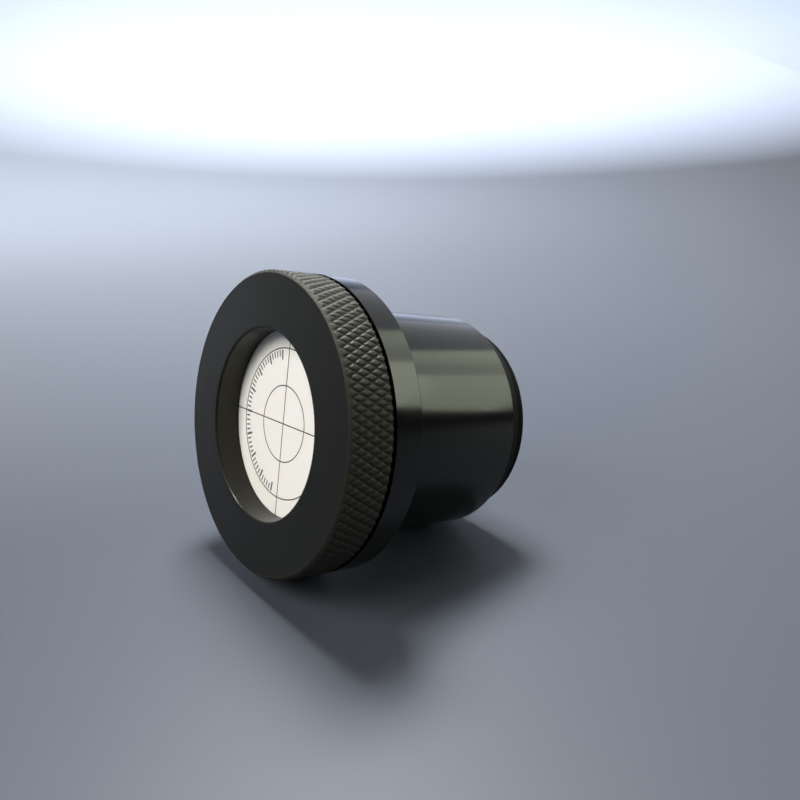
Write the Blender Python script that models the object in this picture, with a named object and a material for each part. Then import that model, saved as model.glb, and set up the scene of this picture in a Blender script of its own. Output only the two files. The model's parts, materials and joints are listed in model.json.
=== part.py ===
"""Self-centring 1.25 inch reflector-mirror insert for a telescope's eyepiece holder.

Every piece is turned about one axis. Stations along that axis are measured in millimetres from the front
face of the knurled ring, and radii from the axis. The pieces are modelled with the axis along local +Z and
hang on empties, one for each moving body. The rest_pose empty lays the assembly down on z = 0 the way it
rests on a table: on the flange's rim and on the rim of the barrel's open end.

Turning the ring clockwise screws it along the core's thread. The core slides towards the front and squeezes
the rubber ring between the barrel and the end cap, so the rubber swells and centres the barrel in its socket.
"""

import math

import bmesh
import bpy
from mathutils import Matrix, Vector

MM = 0.001

# Radii, in millimetres.
RING_R = 20.0                  # knurled ring over its crests, and the flange behind it
KNURL_DEPTH = 0.3
WINDOW_R = 12.5                # opening in front of the target
THREAD_BORE_R = 14.15          # female thread through the back of the ring
HUB_R = 16.0
HUB_POCKET_R = 16.2
BARREL_R = 15.85               # the 1.25 inch standard, 31.7 mm across
BARREL_BORE_R = 13.55
CORE_R = 13.4
CORE_BORE_R = 12.5
COLLAR_R = 14.0                # male thread at the front of the core
RUBBER_R = 15.0
WASHER_R = 14.7
CAP_R = 14.2
SPIGOT_R = 12.38
CELL_BORE_R = 11.6
CELL_LIP_R = 10.7
MIRROR_R = 11.45

# Stations along the axis, in millimetres from the front face.
LIP_BACK = 3.55                # back of the lip that the target rests on
RING_BACK = 6.05
FLANGE_FRONT = 6.5
HUB_BACK = 8.9
POCKET_FLOOR = 9.4
FLANGE_BACK = 10.5
BARREL_END = 31.27
CORE_FRONT = 7.4
COLLAR_BACK = 9.1
CAP_FRONT = 33.57
CAP_BACK = 35.5
SPIGOT_FRONT = 28.4

EDGE = 0.15                    # turned edge breaks on the flange and barrel
RING_EDGE = 0.35               # larger ones on the ring and its window
SEAT_GAP = 0.1                 # left between pieces that are stacked on each other

DIAMONDS = 104                 # knurl diamonds round the ring
KNURL_ROWS = 6
KNURL_FRONT = 0.5
KNURL_BACK = 5.6
SLEEVE_FACETS = 72
FACETS = 48                    # facets on the other turned pieces
SMALL_FACETS = 12

KEY_STATION = 11.5
KEY_R = 0.5
KEYWAY_DEPTH_R = 14.6
KEYWAY_BACK = 13.2
TILT_CIRCLE_R = 8.5
TILT_SCREW_R = 0.8
TILT_HOLE_R = 0.95
SMOOTH_ANGLE = math.radians(25)

# The assembly lies on the flange's rim and the barrel's end rim, so the axis tilts by the drop between them.
FLANGE_RIM = FLANGE_BACK - EDGE
BARREL_RIM = BARREL_END - EDGE
TILT = math.atan2(RING_R - BARREL_R, BARREL_RIM - FLANGE_RIM)
AXIS_HEIGHT = RING_R * math.cos(TILT) + FLANGE_RIM * math.sin(TILT)
FRONT_REACH = -(RING_R - RING_EDGE) * math.sin(TILT)
BACK_REACH = CAP_BACK * math.cos(TILT) + (CAP_R - 0.5) * math.sin(TILT)
MIDDLE = (FRONT_REACH + BACK_REACH) / 2


def clear_scene():
    for obj in list(bpy.data.objects):
        bpy.data.objects.remove(obj, do_unlink=True)


def material(name, color, roughness, metallic=0.0):
    made = bpy.data.materials.new(name)
    made.use_nodes = True
    shader = made.node_tree.nodes["Principled BSDF"]
    shader.inputs["Base Color"].default_value = (*color, 1.0)
    shader.inputs["Roughness"].default_value = roughness
    shader.inputs["Metallic"].default_value = metallic
    return made


def add_empty(name, parent=None, matrix=Matrix.Identity(4)):
    empty = bpy.data.objects.new(name, None)
    bpy.context.collection.objects.link(empty)
    empty.parent = parent
    empty.matrix_basis = matrix
    return empty


def add_object(name, mesh_data, parent, finish):
    """Turn a bmesh into a named, smooth-shaded object on one of the bodies."""
    bmesh.ops.remove_doubles(mesh_data, verts=mesh_data.verts, dist=1e-7)
    bmesh.ops.recalc_face_normals(mesh_data, faces=mesh_data.faces)
    mesh = bpy.data.meshes.new(name)
    mesh_data.to_mesh(mesh)
    mesh_data.free()
    mesh.materials.append(finish)
    mesh.shade_smooth()
    mesh.set_sharp_from_angle(angle=SMOOTH_ANGLE)
    obj = bpy.data.objects.new(name, mesh)
    bpy.context.collection.objects.link(obj)
    obj.parent = parent
    return obj


def spin_profile(profile, facets, angle=math.tau):
    """Spin (radius, station) points about local Z, with a flat facet at the bottom. Radii are to the flats."""
    mesh_data = bmesh.new()
    reach = MM / math.cos(math.pi / facets)
    start = Matrix.Rotation(math.pi / facets, 4, "Z")
    points = [mesh_data.verts.new(start @ Vector((r * reach, 0, s * MM))) for r, s in profile]
    on_axis = profile[0][0] == 0
    edges = [mesh_data.edges.new(pair) for pair in zip(points, points[1:])]
    if not on_axis:
        edges.append(mesh_data.edges.new((points[-1], points[0])))
    whole = math.isclose(angle, math.tau)
    steps = round(facets * angle / math.tau)
    if not whole:
        mesh_data.faces.new(points)
    swept = bmesh.ops.spin(
        mesh_data,
        geom=points + edges,
        cent=(0, 0, 0),
        axis=(0, 0, 1),
        angle=angle,
        steps=steps,
        use_merge=whole,
    )
    if not whole:
        last = [item for item in swept["geom_last"] if isinstance(item, bmesh.types.BMVert)]
        mesh_data.faces.new(last)
    return mesh_data


def turned(name, profile, parent, finish, facets=FACETS):
    return add_object(name, spin_profile(profile, facets), parent, finish)


def washer_profile(inner, outer, front, back):
    return [(inner, front), (outer, front), (outer, back), (inner, back)]


def disc_profile(radius, front, back, edge=0.15):
    return [(0, front), (radius - edge, front), (radius, front + edge),
            (radius, back - edge), (radius - edge, back), (0, back)]


def rod(name, radius, length, centre, direction, parent, finish):
    """A plain round rod, centred on a point and lying along a direction."""
    mesh_data = bmesh.new()
    turn = Vector(direction).to_track_quat("Z", "Y").to_matrix().to_4x4()
    bmesh.ops.create_cone(
        mesh_data,
        cap_ends=True,
        segments=SMALL_FACETS,
        radius1=radius * MM,
        radius2=radius * MM,
        depth=length * MM,
        matrix=Matrix.Translation(Vector(centre) * MM) @ turn,
    )
    return add_object(name, mesh_data, parent, finish)


def block(name, low, high, parent, finish):
    mesh_data = bmesh.new()
    size = (Vector(high) - Vector(low)) * MM
    middle = (Vector(high) + Vector(low)) * MM / 2
    bmesh.ops.create_cube(mesh_data, size=1, matrix=Matrix.Translation(middle) @ Matrix.Diagonal((*size, 1)))
    return add_object(name, mesh_data, parent, finish)


def cut(target, cutter):
    cutter.hide_render = True
    cutter.display_type = "WIRE"
    boolean = target.modifiers.new(cutter.name, "BOOLEAN")
    boolean.operation = "DIFFERENCE"
    boolean.solver = "EXACT"
    boolean.object = cutter


def circle_points(mesh_data, count, radius, station):
    step = math.tau / count
    return [
        mesh_data.verts.new(Vector((radius * math.cos(k * step), radius * math.sin(k * step), station)) * MM)
        for k in range(count)
    ]


def join_equal(mesh_data, front, back):
    for k in range(len(front)):
        after = (k + 1) % len(front)
        mesh_data.faces.new((front[k], front[after], back[after]))
        mesh_data.faces.new((front[k], back[after], back[k]))


def join_halved(mesh_data, fine, coarse):
    """Join a circle of points to one with half as many."""
    for k in range(len(coarse)):
        left, middle, right = fine[2 * k], fine[2 * k + 1], fine[(2 * k + 2) % len(fine)]
        after = (k + 1) % len(coarse)
        mesh_data.faces.new((left, middle, coarse[k]))
        mesh_data.faces.new((middle, coarse[after], coarse[k]))
        mesh_data.faces.new((middle, right, coarse[after]))


def knurl_rows(mesh_data):
    """Rows of crests and valleys that alternate, so every crest is the tip of a four-sided diamond."""
    rows = []
    step = math.pi / DIAMONDS
    for row in range(KNURL_ROWS):
        station = KNURL_FRONT + (KNURL_BACK - KNURL_FRONT) * row / (KNURL_ROWS - 1)
        points = []
        for k in range(2 * DIAMONDS):
            radius = RING_R if (k + row) % 2 == 0 else RING_R - KNURL_DEPTH
            place = Vector((radius * math.cos(k * step), radius * math.sin(k * step), station))
            points.append(mesh_data.verts.new(place * MM))
        rows.append(points)
    for row in range(KNURL_ROWS - 1):
        front, back = rows[row], rows[row + 1]
        for k in range(2 * DIAMONDS):
            after = (k + 1) % (2 * DIAMONDS)
            if (k + row) % 2 == 0:
                mesh_data.faces.new((front[k], front[after], back[k]))
                mesh_data.faces.new((front[after], back[after], back[k]))
            else:
                mesh_data.faces.new((front[k], front[after], back[after]))
                mesh_data.faces.new((front[k], back[after], back[k]))
    return rows


def add_knurled_ring(parent, finish):
    mesh_data = bmesh.new()
    rows = knurl_rows(mesh_data)
    face_r = RING_R - RING_EDGE
    front = circle_points(mesh_data, 2 * DIAMONDS, face_r, 0)
    back = circle_points(mesh_data, 2 * DIAMONDS, face_r, RING_BACK)
    join_equal(mesh_data, front, rows[0])
    join_equal(mesh_data, rows[-1], back)
    groove_front, groove_back = 7.9, 8.4
    groove_r = HUB_R - 0.4
    inner = [
        (WINDOW_R + RING_EDGE, 0),
        (WINDOW_R, RING_EDGE),
        (WINDOW_R, LIP_BACK),
        (THREAD_BORE_R, LIP_BACK),
        (THREAD_BORE_R, HUB_BACK),
        (HUB_R, HUB_BACK),
        (HUB_R, groove_back),
        (groove_r, groove_back),
        (groove_r, groove_front),
        (HUB_R, groove_front),
        (HUB_R, RING_BACK),
    ]
    circles = [circle_points(mesh_data, DIAMONDS, radius, station) for radius, station in inner]
    join_halved(mesh_data, front, circles[0])
    for first, second in zip(circles, circles[1:]):
        join_equal(mesh_data, first, second)
    join_halved(mesh_data, back, circles[-1])
    return add_object("knurled_ring", mesh_data, parent, finish)


def add_target(ring_body, white, rubber, black):
    front = LIP_BACK + SEAT_GAP
    disc_back = front + 1.3
    gasket_back = disc_back + SEAT_GAP + 0.3
    lock_front = gasket_back + SEAT_GAP
    radius = THREAD_BORE_R - 0.2
    turned("target_disc", disc_profile(radius, front, disc_back), ring_body, white)
    gasket = washer_profile(WINDOW_R + 0.1, radius, disc_back + SEAT_GAP, gasket_back)
    turned("target_gasket", gasket, ring_body, rubber)
    lock_inner, lock_outer = WINDOW_R - 0.1, THREAD_BORE_R - 0.15
    lock_profile = washer_profile(lock_inner, lock_outer, lock_front, lock_front + 1.0)
    lock = turned("target_lock_ring", lock_profile, ring_body, black)
    low = (-(lock_outer + 1), -0.6, lock_front + 0.5)
    high = (lock_outer + 1, 0.6, lock_front + 1.5)
    cut(lock, block("spanner_notch_cutter", low, high, ring_body, black))


def add_barrel(body, black, steel, plastic):
    groove_front, groove_back = 7.85, 8.45
    groove_r = HUB_POCKET_R + 0.5
    profile = [
        (HUB_POCKET_R, FLANGE_FRONT),
        (RING_R - EDGE, FLANGE_FRONT),
        (RING_R, FLANGE_FRONT + EDGE),
        (RING_R, FLANGE_RIM),
        (RING_R - EDGE, FLANGE_BACK),
        (BARREL_R, FLANGE_BACK),
        (BARREL_R, BARREL_RIM),
        (BARREL_R - EDGE, BARREL_END),
        (BARREL_BORE_R + EDGE, BARREL_END),
        (BARREL_BORE_R, BARREL_RIM),
        (BARREL_BORE_R, POCKET_FLOOR),
        (HUB_POCKET_R, POCKET_FLOOR),
        (HUB_POCKET_R, groove_back),
        (groove_r, groove_back),
        (groove_r, groove_front),
        (HUB_POCKET_R, groove_front),
    ]
    sleeve = turned("barrel_sleeve", profile, body, black, SLEEVE_FACETS)
    keyway_half = KEY_R + 0.15
    for side, sign in (("left", -1), ("right", 1)):
        ends = sorted((sign * (BARREL_BORE_R - 0.5), sign * KEYWAY_DEPTH_R))
        low = (ends[0], -keyway_half, POCKET_FLOOR - 0.3)
        high = (ends[1], keyway_half, KEYWAY_BACK)
        cut(sleeve, block(f"keyway_cutter_{side}", low, high, body, black))
    thrust = washer_profile(HUB_R + 0.8, RING_R - 1.4, RING_BACK + SEAT_GAP, FLANGE_FRONT - SEAT_GAP)
    turned("thrust_washer", thrust, body, plastic)
    snap_profile = washer_profile(HUB_R - 0.25, HUB_POCKET_R + 0.35, groove_front + 0.15, groove_back - 0.15)
    snap_angle = math.radians(340)
    add_object("snap_ring", spin_profile(snap_profile, FACETS, snap_angle), body, steel)
    slip_front = BARREL_END + SEAT_GAP
    slip = washer_profile(CORE_R + 0.15, WASHER_R, slip_front, slip_front + 0.25)
    turned("front_slip_washer", slip, body, plastic)


def add_core(body, black, steel, plastic, rubber):
    profile = [
        (CORE_BORE_R, CORE_FRONT),
        (COLLAR_R, CORE_FRONT),
        (COLLAR_R, COLLAR_BACK),
        (CORE_R, COLLAR_BACK),
        (CORE_R, CAP_FRONT - SEAT_GAP),
        (CORE_BORE_R, CAP_FRONT - SEAT_GAP),
    ]
    tube = turned("core_tube", profile, body, black)
    hole = rod("key_hole_cutter", KEY_R + 0.1, 2 * BARREL_R, (0, 0, KEY_STATION), (1, 0, 0), body, black)
    cut(tube, hole)
    key_inner, key_outer = CORE_BORE_R + 0.1, KEYWAY_DEPTH_R - 0.15
    for side, sign in (("left", -1), ("right", 1)):
        centre = (sign * (key_inner + key_outer) / 2, 0, KEY_STATION)
        rod(f"key_pin_{side}", KEY_R, key_outer - key_inner, centre, (1, 0, 0), body, steel)
    rubber_front = BARREL_END + 0.45
    rubber_back = CAP_FRONT - 0.45
    shoulder = 0.25
    rubber_profile = [
        (CORE_R + SEAT_GAP, rubber_front),
        (RUBBER_R - shoulder, rubber_front),
        (RUBBER_R, rubber_front + shoulder),
        (RUBBER_R, rubber_back - shoulder),
        (RUBBER_R - shoulder, rubber_back),
        (CORE_R + SEAT_GAP, rubber_back),
    ]
    turned("expansion_ring", rubber_profile, body, rubber)
    slip = washer_profile(CORE_R + SEAT_GAP, WASHER_R - 0.2, rubber_back + SEAT_GAP, CAP_FRONT - SEAT_GAP)
    turned("rear_slip_washer", slip, body, plastic)


def add_mirror_cell(body, black, steel, glass, rubber):
    lip_front = CAP_BACK - 1.1
    cap_profile = [
        (CELL_BORE_R, SPIGOT_FRONT),
        (SPIGOT_R, SPIGOT_FRONT),
        (SPIGOT_R, CAP_FRONT),
        (CAP_R, CAP_FRONT),
        (CAP_R, CAP_BACK - 0.5),
        (CAP_R - 0.5, CAP_BACK),
        (CELL_LIP_R + EDGE, CAP_BACK),
        (CELL_LIP_R, CAP_BACK - EDGE),
        (CELL_LIP_R, lip_front),
        (CELL_BORE_R, lip_front),
    ]
    turned("end_cap", cap_profile, body, black)
    cord_r = 0.25
    cord_middle = (CELL_LIP_R + CELL_BORE_R) / 2
    cord_station = lip_front - SEAT_GAP - cord_r
    cord_profile = [
        (cord_middle + cord_r * math.cos(k * math.tau / 8), cord_station - cord_r * math.sin(k * math.tau / 8))
        for k in range(8)
    ]
    turned("mirror_seat_ring", cord_profile, body, rubber)
    mirror_back = cord_station - cord_r - SEAT_GAP
    mirror_front = mirror_back - 1.6
    turned("mirror", disc_profile(MIRROR_R, mirror_front, mirror_back), body, glass)
    plate_back = mirror_front - SEAT_GAP
    turned("backing_plate", disc_profile(MIRROR_R, plate_back - 0.9, plate_back), body, steel)
    screw_tip = plate_back - 0.9 - SEAT_GAP
    adjuster_back = screw_tip - 0.7
    adjuster_front = SPIGOT_FRONT + 0.2
    adjuster = turned("adjuster_plate", disc_profile(MIRROR_R, adjuster_front, adjuster_back), body, black)
    screw_front = adjuster_front - 0.4
    for number in range(3):
        angle = math.pi / 2 + number * math.tau / 3
        place = (TILT_CIRCLE_R * math.cos(angle), TILT_CIRCLE_R * math.sin(angle))
        hole_centre = (*place, (adjuster_front + adjuster_back) / 2)
        hole_name = f"tilt_hole_cutter_{number + 1}"
        hole = rod(hole_name, TILT_HOLE_R, 4, hole_centre, (0, 0, 1), body, black)
        cut(adjuster, hole)
        screw_centre = (*place, (screw_front + screw_tip) / 2)
        screw_name = f"tilt_screw_{number + 1}"
        rod(screw_name, TILT_SCREW_R, screw_tip - screw_front, screw_centre, (0, 0, 1), body, steel)


def build():
    clear_scene()
    black = material("black_anodised", (0.016, 0.016, 0.015), 0.38, 0.6)
    matte_black = material("blasted_black", (0.022, 0.022, 0.019), 0.62, 0.4)
    white = material("target_white", (0.82, 0.80, 0.77), 0.45)
    rubber = material("black_rubber", (0.012, 0.012, 0.012), 0.7)
    plastic = material("black_acetal", (0.02, 0.02, 0.02), 0.5)
    steel = material("bright_steel", (0.55, 0.56, 0.57), 0.3, 1.0)
    glass = material("mirror_glass", (0.9, 0.91, 0.92), 0.03, 1.0)

    lay_down = Matrix.Rotation(-(math.pi / 2 + TILT), 4, "X")
    place = Matrix.Translation(Vector((0, -MIDDLE, AXIS_HEIGHT)) * MM)
    rest_pose = add_empty("rest_pose", matrix=place @ lay_down)
    barrel_body = add_empty("barrel_body", rest_pose)
    ring_body = add_empty("ring_body", rest_pose)
    core_body = add_empty("core_body", rest_pose)

    add_barrel(barrel_body, black, steel, plastic)
    add_knurled_ring(ring_body, matte_black)
    add_target(ring_body, white, rubber, black)
    add_core(core_body, black, steel, plastic, rubber)
    add_mirror_cell(core_body, black, steel, glass, rubber)


build()
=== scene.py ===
"""Looks for the self-centring 1.25 inch reflector-mirror insert.

Every visible piece is turned about the clamp ring's axis, so it is modelled in an axis frame: local +Z
runs along that axis from the ring's front face, and local +X is the row's +X. Sizes of the object are in
millimetres. The stage, the lights and what a material's nodes measure are in metres.
"""

import json
import math

import bmesh
import bpy
from mathutils import Matrix, Vector


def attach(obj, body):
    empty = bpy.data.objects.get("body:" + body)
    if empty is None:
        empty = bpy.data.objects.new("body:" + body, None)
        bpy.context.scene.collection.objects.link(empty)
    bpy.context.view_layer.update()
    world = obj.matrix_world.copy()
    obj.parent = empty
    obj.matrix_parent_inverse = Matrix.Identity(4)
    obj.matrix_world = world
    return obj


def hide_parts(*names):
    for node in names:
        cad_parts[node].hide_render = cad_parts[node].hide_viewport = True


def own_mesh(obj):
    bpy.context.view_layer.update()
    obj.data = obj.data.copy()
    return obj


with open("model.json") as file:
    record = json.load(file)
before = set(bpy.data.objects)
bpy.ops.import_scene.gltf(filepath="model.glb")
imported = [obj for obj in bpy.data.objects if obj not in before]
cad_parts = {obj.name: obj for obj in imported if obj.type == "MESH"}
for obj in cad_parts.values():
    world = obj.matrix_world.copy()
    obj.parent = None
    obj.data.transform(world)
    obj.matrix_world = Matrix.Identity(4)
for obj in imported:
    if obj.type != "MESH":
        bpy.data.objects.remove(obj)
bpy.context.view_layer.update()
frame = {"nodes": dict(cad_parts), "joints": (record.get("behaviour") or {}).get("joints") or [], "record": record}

MM = 0.001
AROUND = 360                     # segments round a turned piece
SMOOTH_ANGLE = math.radians(28)
CORNER = 0.05                    # rounding of the corners that hardly show

# Radii.
RING_R = 20.0                    # knurled ring and flange
CREST_R = RING_R - 0.05          # the knurl's crests, just inside the CAD's
WINDOW_R = 12.5
THREAD_R = 14.15
HUB_R = 16.0
POCKET_R = 16.2
BARREL_R = 15.85
BARREL_BORE_R = 13.55
CAP_R = 14.2
CAP_LIP_R = 10.7
CELL_R = 11.6
SPIGOT_R = 12.38
RUBBER_R = 15.0
MIRROR_R = 11.45
TARGET_R = 13.95

# Stations, measured from the front face.
LIP_BACK = 3.55
TARGET_FRONT = 3.60
TARGET_BACK = 4.95
RING_BACK = 6.05
FLANGE_FRONT = 6.5
HUB_BACK = 8.9
POCKET_FLOOR = 9.4
FLANGE_BACK = 10.5
SPIGOT_FRONT = 28.4
BARREL_END = 31.27
RUBBER_FRONT = 31.72
RUBBER_BACK = 33.12
CAP_FRONT = 33.57
CAP_BACK = 35.5

EDGE = 0.15                      # turned edge breaks
FAR_END = 31.1                   # station past which the anodised finish is matt and dark
KNURLED_R = 19.4                 # radius past which the blasted finish is coarser, and painted paler as sheen
BLEND = 0.1                      # half the width over which one finish runs into the next

# Knurl: two families of crossing grooves.
DIAMONDS = 104
KNURL_PITCH = 2.09               # length of a diamond along the axis
KNURL_SAMPLES = 12               # mesh steps across one diamond
KNURL_START = 0.45
KNURL_STEPS = 32                 # mesh steps along the ring
KNURL_DEPTH = 0.20
KNURL_GROOVE = 0.33              # half width of a groove, as a share of the distance between grooves

# Printing on the target.
PRINT_THICK = 0.012
PRINT_LIFT = 0.001               # how far the ink's underside clears the target
PRINT_TURN = math.radians(-4.0)
PRINT_MIDDLE = Vector((-0.19, 0.05))
PRINT_SIDES = 240
LINE = 0.16
SMALL_CIRCLE_R = 5.10
LARGE_CIRCLE_R = 10.05
CROSS_REACH = 12.9
MARK_R = 9.8                     # outer ends of the scale marks
MARKS = 41
MARKS_START = 96                 # degrees, as is the step between two marks
MARKS_STEP = 4

# Stage: a flat floor that curls up smoothly toward its rim.
FLOOR_R = 0.28
STAGE_R = 2.4
STAGE_HEIGHT = 1.7
STAGE_POWER = 2.3
STAGE_RINGS = 60
STAGE_SEGMENTS = 96

# Lights: where they aim, and the leaning plane of the panes behind the barrel.
LIGHT_CENTER = Vector((0, 0, 0.02))
PANES_AZIMUTH = 150
PANES_ELEVATION = 25
PANES_DISTANCE = 0.6
PANES_LEAN = math.radians(-48)
OLIVE = (0.93, 1.0, 0.79)
PALE = (0.98, 1.0, 0.96)
COOL = (0.93, 0.96, 1.0)
WARM = (1.0, 0.97, 0.92)

# Camera: where the middle of the front face lies in its view.
CAMERA_AZIMUTH = 51.35
CAMERA_ELEVATION = 18.75
CAMERA_LENS = 33.64
FACE_AHEAD = 96.58
FACE_LEFT = 18.11
FACE_BELOW = 3.20


# ---------------------------------------------------------------- axis frame

def axis_frame():
    """Local +Z along the ring's axis, from the middle of its front face."""
    joint = next(j for j in frame["joints"] if j["name"] == "ring_turn")
    along = Vector(joint["axis"]).normalized()
    across = Vector((1, 0, 0))
    down = along.cross(across)
    turn = Matrix((across, down, along)).transposed().to_4x4()
    return Matrix.Translation(Vector(joint["pos_m"])) @ turn


AXIS = axis_frame()


# ---------------------------------------------------------------- node helpers

class Look:
    """A Principled material that is built up node by node."""

    def __init__(self, name):
        self.material = bpy.data.materials.new(name)
        self.material.use_nodes = True
        self.tree = self.material.node_tree
        self.shader = self.tree.nodes["Principled BSDF"]
        self.coordinate = self.add("ShaderNodeTexCoord").outputs["Object"]

    def add(self, kind, settings=None, **inputs):
        node = self.tree.nodes.new(kind)
        for name, value in (settings or {}).items():
            setattr(node, name, value)
        for name, value in inputs.items():
            self.put(node, name.replace("_", " "), value)
        return node

    def put(self, node, name, value):
        if isinstance(value, bpy.types.NodeSocket):
            self.tree.links.new(value, node.inputs[name])
        else:
            node.inputs[name].default_value = value

    def set(self, **inputs):
        for name, value in inputs.items():
            self.put(self.shader, name.replace("_", " "), value)

    def fill(self, node, places, values):
        for place, value in zip(places, values):
            self.put(node, place, value)

    def math(self, operation, first, second=0.0, third=0.0):
        node = self.add("ShaderNodeMath", {"operation": operation})
        self.fill(node, range(3), (first, second, third))
        return node.outputs["Value"]

    def noise(self, scale, detail=2.0, rough=0.5, vector=None):
        where = self.coordinate if vector is None else vector
        node = self.add("ShaderNodeTexNoise", None, Vector=where, Scale=scale, Detail=detail, Roughness=rough)
        return node.outputs["Fac"]

    def spread(self, value, low, high, to_low, to_high):
        """Map a value from one range to another, clamped."""
        node = self.add("ShaderNodeMapRange", {"clamp": True})
        self.fill(node, range(5), (value, low, high, to_low, to_high))
        return node.outputs["Result"]

    def past(self, value, edge):
        """0 before the edge and 1 past it."""
        return self.spread(value, (edge - BLEND) * MM, (edge + BLEND) * MM, 0.0, 1.0)

    def mix(self, amount, first, second):
        node = self.add("ShaderNodeMix", {"data_type": "RGBA"})
        self.fill(node, (0, 6, 7), (amount, first, second))
        return node.outputs[2]

    def bump(self, height, distance, strength=1.0):
        node = self.add("ShaderNodeBump", None, Height=height, Distance=distance, Strength=strength)
        return node.outputs["Normal"]

    def turning(self):
        """Distance from the axis and station, as one vector and apart, so that texture runs in rings."""
        from_axis = self.add(
            "ShaderNodeMapping",
            {"vector_type": "TEXTURE"},
            Vector=self.coordinate,
            Location=AXIS.translation,
            Rotation=AXIS.to_euler(),
        ).outputs["Vector"]
        x, y, station = self.add("ShaderNodeSeparateXYZ", None, Vector=from_axis).outputs
        square = self.math("MULTIPLY_ADD", x, x, self.math("MULTIPLY", y, y))
        radius = self.math("SQRT", square)
        both = self.add("ShaderNodeCombineXYZ", None, X=radius, Y=station).outputs["Vector"]
        return both, radius, station

    def tangent(self):
        """The direction round the axis, for tooling marks that run that way."""
        offset = self.add("ShaderNodeVectorMath", {"operation": "SUBTRACT"})
        self.fill(offset, range(2), (self.coordinate, AXIS.translation))
        cross = self.add("ShaderNodeVectorMath", {"operation": "CROSS_PRODUCT"})
        self.fill(cross, range(2), (AXIS.col[2][:3], offset.outputs["Vector"]))
        settings = {"vector_type": "VECTOR", "convert_from": "OBJECT", "convert_to": "WORLD"}
        world = self.add("ShaderNodeVectorTransform", settings, Vector=cross.outputs["Vector"])
        return world.outputs["Vector"]


def rgb(red, green, blue):
    return (red, green, blue, 1.0)


# ---------------------------------------------------------------- materials

def anodised_look():
    """Fine-turned aluminium, dyed black: glossy, with tooling lines in rings and a few wipe marks."""
    look = Look("black_anodised_finish")
    rings, _, station = look.turning()
    fine = look.noise(9000, 2.0, 0.6, rings)
    coarse = look.noise(1400, 3.0, 0.5, rings)
    smear = look.noise(160, 4.0, 0.6)
    dust = look.noise(2600, 1.0, 0.5)
    tint = look.mix(coarse, rgb(0.0022, 0.0023, 0.0025), rgb(0.0042, 0.0043, 0.0044))
    speck = look.spread(dust, 0.74, 0.80, 0.0, 0.20)
    look.set(Base_Color=look.mix(speck, tint, rgb(0.05, 0.05, 0.048)))
    lines = look.math("MULTIPLY_ADD", fine, 0.04, 0.10)
    wiped = look.math("MULTIPLY_ADD", look.spread(smear, 0.35, 0.75, 0.0, 1.0), 0.04, lines)
    far_end = look.past(station, FAR_END)
    look.set(Roughness=look.math("MULTIPLY_ADD", far_end, 0.35, wiped))
    look.set(Specular_IOR_Level=look.spread(far_end, 0.0, 1.0, 0.5, 0.05))
    height = look.math("ADD", look.math("MULTIPLY", fine, 0.35), coarse)
    look.set(Normal=look.bump(height, 0.0000022))
    look.set(IOR=1.42, Anisotropic=0.5, Tangent=look.tangent())
    return look.material


def blasted_look():
    """Bead-blasted aluminium, dyed black: matt, faintly olive, with a fine even grain."""
    look = Look("blasted_black_finish")
    grain = look.noise(14000, 2.0, 0.6)
    mottle = look.noise(420, 4.0, 0.55)
    patches = look.spread(mottle, 0.3, 0.7, 0.0, 1.0)
    tint = look.mix(patches, rgb(0.0030, 0.0029, 0.0021), rgb(0.0048, 0.0046, 0.0034))
    # Painted sheen: past KNURLED_R the knurled rim's base colour is lifted paler to stand in for the soft sheen on
    # it, and it is rougher there. The smaller lift from the grain is the metal's own.
    knurl = look.past(look.turning()[1], KNURLED_R)
    pale = look.math("MULTIPLY_ADD", knurl, 0.65, look.spread(grain, 0.62, 0.80, 0.0, 0.25))
    look.set(Base_Color=look.mix(pale, tint, rgb(0.016, 0.015, 0.012)))
    smooth = look.math("MULTIPLY_ADD", grain, 0.12, 0.25)
    look.set(Roughness=look.math("MULTIPLY_ADD", knurl, 0.25, smooth))
    look.set(Normal=look.bump(grain, 0.000006, 0.5))
    look.set(IOR=1.40, Specular_Tint=rgb(1.0, 0.98, 0.80))
    return look.material


def target_look():
    """Warm white satin plastic."""
    look = Look("target_white_finish")
    cloud = look.noise(140, 3.0, 0.5)
    tooth = look.noise(9000, 2.0, 0.5)
    look.set(Base_Color=look.mix(cloud, rgb(0.89, 0.875, 0.83), rgb(0.93, 0.92, 0.875)))
    look.set(Roughness=look.math("MULTIPLY_ADD", tooth, 0.12, 0.40))
    look.set(Normal=look.bump(tooth, 0.0000015))
    look.set(Subsurface_Weight=0.05, Subsurface_Scale=0.0005)
    return look.material


def print_look():
    """Thin grey ink."""
    look = Look("grey_print_finish")
    break_up = look.noise(5200, 3.0, 0.6)
    look.set(Base_Color=look.mix(break_up, rgb(0.045, 0.044, 0.042), rgb(0.11, 0.107, 0.10)))
    look.set(Roughness=look.math("MULTIPLY_ADD", break_up, 0.2, 0.45))
    return look.material


def rubber_look():
    """Black rubber with a faint grey bloom."""
    look = Look("black_rubber_finish")
    skin = look.noise(7000, 3.0, 0.6)
    bloom = look.noise(300, 3.0, 0.5)
    look.set(Base_Color=look.mix(bloom, rgb(0.003, 0.003, 0.003), rgb(0.007, 0.007, 0.007)))
    look.set(Roughness=look.math("MULTIPLY_ADD", skin, 0.2, 0.60))
    look.set(Normal=look.bump(skin, 0.000004))
    look.set(IOR=1.4, Specular_IOR_Level=0.25)
    return look.material


def acetal_look():
    """Turned black bearing plastic."""
    look = Look("black_acetal_finish")
    rings = look.noise(6000, 2.0, 0.5, look.turning()[0])
    look.set(Base_Color=look.mix(rings, rgb(0.008, 0.008, 0.008), rgb(0.014, 0.014, 0.014)))
    look.set(Roughness=look.math("MULTIPLY_ADD", rings, 0.15, 0.35))
    look.set(Normal=look.bump(rings, 0.000002))
    return look.material


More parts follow.
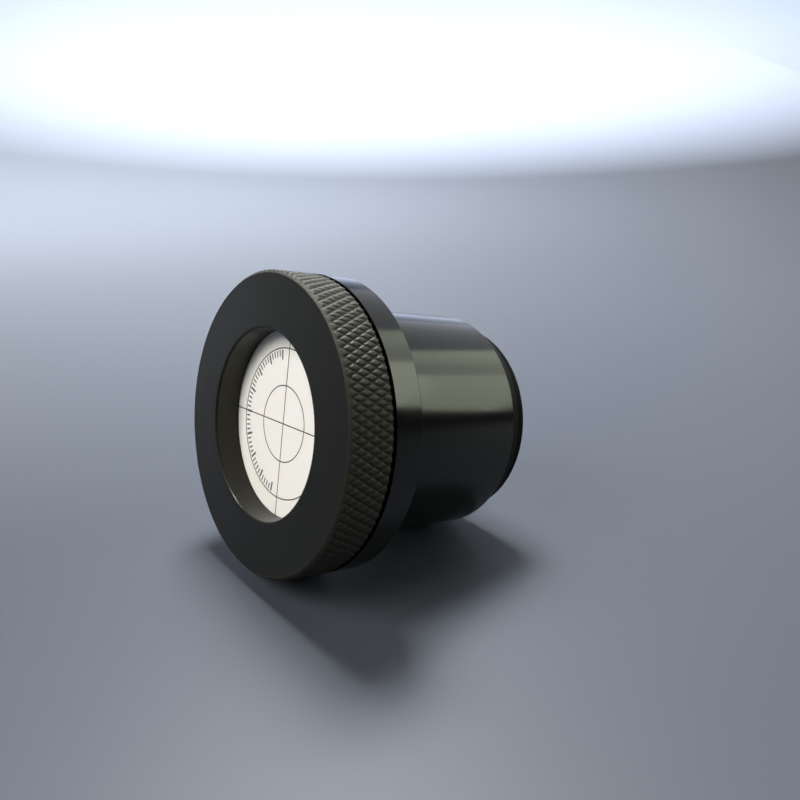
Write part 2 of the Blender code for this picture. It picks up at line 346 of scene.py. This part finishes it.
def steel_look():
    """Turned steel, for the pins, the screws and the snap ring."""
    look = Look("bright_steel_finish")
    brushing = look.noise(4000, 3.0, 0.6, look.turning()[0])
    look.set(Base_Color=look.mix(brushing, rgb(0.44, 0.45, 0.46), rgb(0.60, 0.61, 0.62)))
    look.set(Roughness=look.math("MULTIPLY_ADD", brushing, 0.15, 0.22))
    look.set(Metallic=1.0, Normal=look.bump(brushing, 0.000001))
    return look.material


def mirror_look():
    """A first-surface mirror with a trace of dust."""
    look = Look("mirror_glass_finish")
    dust = look.spread(look.noise(3200, 2.0, 0.6), 0.66, 0.80, 0.0, 1.0)
    look.set(Base_Color=look.mix(dust, rgb(0.90, 0.91, 0.92), rgb(0.62, 0.62, 0.62)))
    look.set(Roughness=look.math("MULTIPLY_ADD", dust, 0.25, 0.02))
    look.set(Metallic=1.0)
    return look.material


def floor_look():
    """Plain and pale under the lights, a little uneven."""
    look = Look("floor_finish")
    cloud = look.noise(6, 3.0, 0.5)
    look.set(Base_Color=look.mix(cloud, rgb(0.0470, 0.0522, 0.0658), rgb(0.0500, 0.0555, 0.0700)))
    look.set(Roughness=0.5, Specular_IOR_Level=0.28)
    return look.material


LOOKS = {
    "black_anodised": anodised_look(),
    "blasted_black": blasted_look(),
    "target_white": target_look(),
    "grey_print": print_look(),
    "black_rubber": rubber_look(),
    "black_acetal": acetal_look(),
    "bright_steel": steel_look(),
    "mirror_glass": mirror_look(),
}


# ---------------------------------------------------------------- shapes

def add_piece(name, mesh_data, body, slot, *nodes):
    """Lay a mesh from the axis frame into the row, let it ride on a body and stand for its CAD nodes."""
    bmesh.ops.recalc_face_normals(mesh_data, faces=mesh_data.faces)
    mesh = bpy.data.meshes.new(name)
    mesh_data.to_mesh(mesh)
    mesh_data.free()
    mesh.transform(AXIS)
    mesh.materials.append(LOOKS[slot])
    mesh.shade_smooth()
    mesh.set_sharp_from_angle(angle=SMOOTH_ANGLE)
    piece = bpy.data.objects.new(name, mesh)
    bpy.context.collection.objects.link(piece)
    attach(piece, body)
    if nodes:
        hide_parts(*nodes)
    return piece


def rounded(profile, closed=True, steps=4):
    """Round the corners of a profile of (radius, station, corner radius) points.

    A close point on each side of a rounding keeps the long faces next to it shaded flat.
    """
    count = len(profile)
    points = []
    for k, (r, s, corner) in enumerate(profile):
        here = Vector((r, s))
        if corner == 0 or (not closed and k in (0, count - 1)):
            points.append(here)
            continue
        before = Vector(profile[k - 1][:2]) - here
        after = Vector(profile[(k + 1) % count][:2]) - here
        half = before.angle(after) / 2
        back = min(corner / math.tan(half), 0.45 * before.length, 0.45 * after.length)
        start = here + before.normalized() * back
        end = here + after.normalized() * back
        points.append(here + before.normalized() * back * 1.1)
        for step in range(steps + 1):
            t = step / steps
            points.append(start.lerp(here, t).lerp(here.lerp(end, t), t))
        points.append(here + after.normalized() * back * 1.1)
    return points


def spun(profile, closed=True):
    """A profile of (radius, station, corner radius) points, turned all the way round."""
    mesh_data = bmesh.new()
    points = [mesh_data.verts.new(Vector((p.x, 0, p.y)) * MM) for p in rounded(profile, closed)]
    edges = [mesh_data.edges.new(pair) for pair in zip(points, points[1:])]
    if closed:
        edges.append(mesh_data.edges.new((points[-1], points[0])))
    bmesh.ops.spin(
        mesh_data,
        geom=points + edges,
        cent=(0, 0, 0),
        axis=(0, 0, 1),
        angle=math.tau,
        steps=AROUND,
        use_merge=True,
    )
    bmesh.ops.remove_doubles(mesh_data, verts=mesh_data.verts, dist=1e-8)
    return mesh_data


def turned(name, profile, body, slot, *nodes, closed=True):
    return add_piece(name, spun(profile, closed), body, slot, *nodes)


def washer(inner, outer, front, back):
    """The profile of a flat ring."""
    corner = 0.04
    return [(inner, front, corner), (outer, front, corner), (outer, back, corner), (inner, back, corner)]


# ---------------------------------------------------------------- barrel and flange

def add_sleeve():
    small = 0.10
    profile = [
        (POCKET_R, FLANGE_FRONT, CORNER),
        (RING_R, FLANGE_FRONT, 0),
        (RING_R, FLANGE_BACK - EDGE, small),
        (RING_R - EDGE, FLANGE_BACK, small),
        (BARREL_R, FLANGE_BACK, 0.12),
        (BARREL_R, BARREL_END - EDGE, small),
        (BARREL_R - EDGE, BARREL_END, small),
        (BARREL_BORE_R + EDGE, BARREL_END, small),
        (BARREL_BORE_R, BARREL_END - EDGE, small),
        (BARREL_BORE_R, POCKET_FLOOR, CORNER),
        (POCKET_R, POCKET_FLOOR, CORNER),
    ]
    turned("flange_and_barrel", profile, "barrel", "black_anodised", "barrel_sleeve")


def add_barrel_trim():
    gap, thick = 0.10, 0.25
    thrust = washer(16.8, 18.6, RING_BACK + gap, FLANGE_FRONT - gap)
    turned("ring_thrust_washer", thrust, "barrel", "black_acetal", "thrust_washer")
    slip = washer(BARREL_BORE_R, 14.7, BARREL_END + gap, BARREL_END + gap + thick)
    turned("barrel_slip_washer", slip, "barrel", "black_acetal", "front_slip_washer")


def add_rubber():
    """The rubber ring past the barrel's end, given a mesh of its own."""
    inner, crown = 13.5, 0.32
    profile = [
        (inner, RUBBER_FRONT, 0.1),
        (RUBBER_R, RUBBER_FRONT, crown),
        (RUBBER_R, RUBBER_BACK, crown),
        (inner, RUBBER_BACK, 0.1),
    ]
    ring = turned("rubber_expansion_ring", profile, "barrel", "black_rubber", "expansion_ring")
    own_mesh(ring)


# ---------------------------------------------------------------- clamp ring

def groove_rise(phase):
    """0 in the middle of a groove, rising in a curve to 1 on the flat between two grooves."""
    off = min(abs(phase - round(phase)) / KNURL_GROOVE, 1.0)
    return math.sin(off * math.pi / 2)


def knurl_radius(column, row):
    around = column / KNURL_SAMPLES
    along = row / KNURL_SAMPLES
    return CREST_R - KNURL_DEPTH * (1 - groove_rise(around + along) * groove_rise(around - along))


def skin(mesh_data, first, second):
    """Faces between two circles of corners."""
    for corners in zip(first, first[1:] + first[:1], second[1:] + second[:1], second):
        mesh_data.faces.new(corners)


def add_ring():
    """The knurled rim is a grid whose corners follow the crossing grooves."""
    mesh_data = bmesh.new()
    columns = DIAMONDS * KNURL_SAMPLES
    step = math.tau / columns
    directions = [(math.cos(k * step), math.sin(k * step)) for k in range(columns)]

    def circle(radii, station):
        return [
            mesh_data.verts.new(Vector((r * x, r * y, station)) * MM)
            for r, (x, y) in zip(radii, directions)
        ]

    rim = []
    for row in range(KNURL_STEPS + 1):
        station = KNURL_START + KNURL_PITCH * row / KNURL_SAMPLES
        rim.append(circle([knurl_radius(k, row) for k in range(columns)], station))
    front = rounded([
        (THREAD_R, HUB_BACK, 0),
        (THREAD_R, LIP_BACK, 0),
        (WINDOW_R, LIP_BACK, CORNER),
        (WINDOW_R, 0, 0.30),
        (CREST_R - 0.42, 0, 0.03),
        (CREST_R - 0.14, 0.28, 0),
    ], closed=False)
    back = rounded([
        (CREST_R - KNURL_DEPTH - 0.05, RING_BACK, 0),
        (HUB_R, RING_BACK, CORNER),
        (HUB_R, HUB_BACK, 0),
    ], closed=False)
    circles = [circle([p.x] * columns, p.y) for p in front]
    circles += rim
    circles += [circle([p.x] * columns, p.y) for p in back]
    for first, second in zip(circles, circles[1:] + circles[:1]):
        skin(mesh_data, first, second)
    add_piece("clamp_ring_knurled", mesh_data, "clamp_ring", "blasted_black", "knurled_ring")


# ---------------------------------------------------------------- target

def add_target():
    profile = [
        (0, TARGET_FRONT, 0),
        (TARGET_R, TARGET_FRONT, 0.1),
        (TARGET_R, TARGET_BACK, 0.1),
        (0, TARGET_BACK, 0),
    ]
    turned("target_face", profile, "clamp_ring", "target_white", "target_disc", closed=False)


def polar(radius, angle):
    """A point on the target, about the middle of the printing."""
    return PRINT_MIDDLE + radius * Vector((math.cos(angle), math.sin(angle)))


def print_band(mesh_data, radius):
    """A flat printed circle."""
    near, far = TARGET_FRONT - PRINT_LIFT, TARGET_FRONT - PRINT_LIFT - PRINT_THICK
    inner, outer = radius - LINE / 2, radius + LINE / 2
    circles = []
    for r, station in ((inner, near), (outer, near), (outer, far), (inner, far)):
        spots = [polar(r, k * math.tau / PRINT_SIDES) for k in range(PRINT_SIDES)]
        circles.append([mesh_data.verts.new(Vector((*spot, station)) * MM) for spot in spots])
    for first, second in zip(circles, circles[1:] + circles[:1]):
        skin(mesh_data, first, second)


def print_bar(mesh_data, start, end, width):
    """A flat printed line between two points on the target."""
    along = end - start
    middle = (start + end) / 2
    turn = Matrix.Rotation(math.atan2(along.y, along.x), 4, "Z")
    station = TARGET_FRONT - PRINT_LIFT - PRINT_THICK / 2
    place = Matrix.Translation(Vector((*middle, station)) * MM)
    size = Matrix.Diagonal((along.length * MM, width * MM, PRINT_THICK * MM, 1))
    bmesh.ops.create_cube(mesh_data, size=1, matrix=place @ turn @ size)


def add_print():
    """Cross-hair, two circles, and plain scale marks round one side."""
    circles = bmesh.new()
    print_band(circles, SMALL_CIRCLE_R)
    print_band(circles, LARGE_CIRCLE_R)
    add_piece("target_circles", circles, "clamp_ring", "grey_print")
    for number, turn in enumerate((PRINT_TURN, PRINT_TURN + math.pi / 2)):
        line = bmesh.new()
        print_bar(line, polar(-CROSS_REACH, turn), polar(CROSS_REACH, turn), LINE)
        add_piece(f"target_line_{number + 1}", line, "clamp_ring", "grey_print")
    marks = bmesh.new()
    for step in range(MARKS):
        angle = math.radians(MARKS_START + MARKS_STEP * step)
        length, width = (1.3, 0.30) if step % 5 == 0 else (0.85, 0.20)
        print_bar(marks, polar(MARK_R - length, angle), polar(MARK_R, angle), width)
    add_piece("target_scale_marks", marks, "clamp_ring", "grey_print")


# ---------------------------------------------------------------- core, end cap and mirror

def add_cap():
    lip = CAP_BACK - 1.1
    chamfer = 0.5
    profile = [
        (CELL_R, SPIGOT_FRONT, CORNER),
        (SPIGOT_R, SPIGOT_FRONT, CORNER),
        (SPIGOT_R, CAP_FRONT, CORNER),
        (CAP_R, CAP_FRONT, 0.10),
        (CAP_R, CAP_BACK - chamfer, 0.12),
        (CAP_R - chamfer, CAP_BACK, 0.12),
        (CAP_LIP_R + EDGE, CAP_BACK, 0.10),
        (CAP_LIP_R, CAP_BACK - EDGE, 0.10),
        (CAP_LIP_R, lip, CORNER),
        (CELL_R, lip, CORNER),
    ]
    turned("mirror_end_cap", profile, "core", "black_anodised", "end_cap")
    slip = washer(13.5, 14.5, CAP_FRONT - 0.35, CAP_FRONT - 0.10)
    turned("cap_slip_washer", slip, "core", "black_acetal", "rear_slip_washer")


def add_mirror():
    """The glass, and the soft round ring that it sits on."""
    thick, sides = 0.25, 16
    seat_r, seat_station = 11.15, CAP_BACK - 1.45
    seat = []
    for k in range(sides):
        angle = k * math.tau / sides
        seat.append((seat_r + thick * math.cos(angle), seat_station - thick * math.sin(angle), 0))
    turned("mirror_soft_seat", seat, "core", "black_rubber", "mirror_seat_ring")
    front, back = CAP_BACK - 3.4, CAP_BACK - 1.8
    glass = [(0, front, 0), (MIRROR_R, front, 0.12), (MIRROR_R, back, 0.12), (0, back, 0)]
    turned("mirror_disc", glass, "core", "mirror_glass", "mirror", closed=False)


def finish_hidden_nodes():
    """The CAD nodes that still show, inside, take the same finishes."""
    slots = {entry["node"]: entry["material_slot"] for entry in frame["record"]["subparts"]}
    for name, node in frame["nodes"].items():
        for place in node.material_slots:
            place.material = LOOKS[slots[name]]


# ---------------------------------------------------------------- stage, light and camera

def add_stage():
    """A pale round floor that sweeps up into a wall all round."""
    mesh_data = bmesh.new()
    points = []
    for k in range(STAGE_RINGS + 1):
        r = STAGE_R * k / STAGE_RINGS
        rise = max(r - FLOOR_R, 0) / (STAGE_R - FLOOR_R)
        points.append(mesh_data.verts.new((r, 0, STAGE_HEIGHT * rise ** STAGE_POWER)))
    edges = [mesh_data.edges.new(pair) for pair in zip(points, points[1:])]
    bmesh.ops.spin(
        mesh_data,
        geom=points + edges,
        cent=(0, 0, 0),
        axis=(0, 0, 1),
        angle=math.tau,
        steps=STAGE_SEGMENTS,
        use_merge=True,
    )
    bmesh.ops.remove_doubles(mesh_data, verts=mesh_data.verts, dist=1e-6)
    bmesh.ops.recalc_face_normals(mesh_data, faces=mesh_data.faces)
    mesh = bpy.data.meshes.new("floor")
    mesh_data.to_mesh(mesh)
    mesh_data.free()
    mesh.materials.append(floor_look())
    mesh.shade_smooth()
    floor = bpy.data.objects.new("floor", mesh)
    bpy.context.collection.objects.link(floor)


def direction(azimuth, elevation):
    """A direction from the object. Azimuth 0 is -Y and 90 is +X."""
    a, e = math.radians(azimuth), math.radians(elevation)
    return Vector((math.sin(a) * math.cos(e), -math.cos(a) * math.cos(e), math.sin(e)))


def add_area(name, size, radiance, color, center, turn):
    """A rectangular soft light. Its local axes are the columns of turn, and it shines along -Z."""
    light = bpy.data.lights.new(name, "AREA")
    light.shape = "RECTANGLE"
    light.size, light.size_y = size
    light.energy = radiance * math.pi * size[0] * size[1]
    light.color = color
    lamp = bpy.data.objects.new(name, light)
    lamp.location = center
    lamp.rotation_mode = "QUATERNION"
    lamp.rotation_quaternion = turn
    lamp.visible_camera = False
    bpy.context.collection.objects.link(lamp)


def add_panel(name, place, facing, size, radiance, color):
    """Place and facing are (azimuth, elevation), the place with a distance."""
    azimuth, elevation, distance = place
    center = direction(azimuth, elevation) * distance + LIGHT_CENTER
    add_area(name, size, radiance, color, center, (-direction(*facing)).to_track_quat("Z", "Y"))


def add_soft_light(name, azimuth, elevation, distance, size, radiance, color):
    """A panel that faces the object."""
    add_panel(name, (azimuth, elevation, distance), (azimuth + 180, -elevation), size, radiance, color)


def add_panes(panes, color):
    """Panes of one large window behind the barrel: left, right, low and high on its leaning plane."""
    outward = direction(PANES_AZIMUTH, PANES_ELEVATION)
    level = Vector((0, 0, 1)).cross(outward).normalized()
    rise = outward.cross(level)
    across = level * math.cos(PANES_LEAN) + rise * math.sin(PANES_LEAN)
    up = outward.cross(across)
    turn = Matrix((across, up, outward)).transposed().to_quaternion()
    for name, left, right, low, high, radiance in panes:
        middle = across * (left + right) / 2 + up * (low + high) / 2
        center = LIGHT_CENTER + outward * PANES_DISTANCE + middle
        add_area(name, (right - left, high - low), radiance, color, center, turn)


def add_lights():
    world = bpy.data.worlds.new("soft_surroundings")
    world.use_nodes = True
    background = world.node_tree.nodes["Background"]
    background.inputs["Color"].default_value = rgb(0.80, 0.88, 1.0)
    background.inputs["Strength"].default_value = 0.05
    bpy.context.scene.world = world
    add_panes((
        ("near_pane", -0.14, -0.022, -0.215, 0.08, 5.2),
        ("low_pane", -0.022, 0.085, -0.215, 0.08, 3.7),
        ("middle_pane", -0.17, 0.12, 0.08, 0.19, 2.35),
        ("far_pane", -0.15, 0.16, 0.19, 0.33, 2.8),
    ), OLIVE)
    add_panes((("sky_panel", -0.30, 0.68, 0.333, 1.15, 0.72),), COOL)
    add_soft_light("key_panel", -119, 66, 0.36, (0.12, 0.12), 82.0, COOL)
    add_soft_light("left_panel", -57, 14, 0.7, (0.6, 0.25), 0.2, WARM)
    add_soft_light("front_panel", -10, 40, 0.7, (0.5, 0.4), 9.0, WARM)
    add_soft_light("right_panel", 98, 24, 0.7, (0.35, 0.35), 1.7, WARM)
    add_panel("back_floor_panel", (-94, 42, 0.62), (-103, -45), (0.7, 0.3), 54.0, PALE)
    add_panel("back_wall_panel", (-130, 38, 0.85), (-130, -5), (1.0, 0.4), 100.0, COOL)


def add_camera():
    back = direction(CAMERA_AZIMUTH, CAMERA_ELEVATION)
    right = Vector((0, 0, 1)).cross(back).normalized()
    up = back.cross(right)
    lens = bpy.data.cameras.new("camera")
    lens.lens = CAMERA_LENS
    lens.sensor_width = 36
    lens.clip_start = 0.002
    lens.clip_end = 20
    camera = bpy.data.objects.new("camera", lens)
    offset = right * FACE_LEFT + up * FACE_BELOW + back * FACE_AHEAD
    camera.location = AXIS.translation + offset * MM
    camera.rotation_mode = "QUATERNION"
    camera.rotation_quaternion = Matrix((right, up, back)).transposed().to_quaternion()
    bpy.context.collection.objects.link(camera)
    bpy.context.scene.camera = camera
    bpy.context.scene.view_settings.view_transform = "Standard"


finish_hidden_nodes()
add_sleeve()
add_barrel_trim()
add_rubber()
add_ring()
add_target()
add_print()
add_cap()
add_mirror()
add_stage()
add_lights()
add_camera()
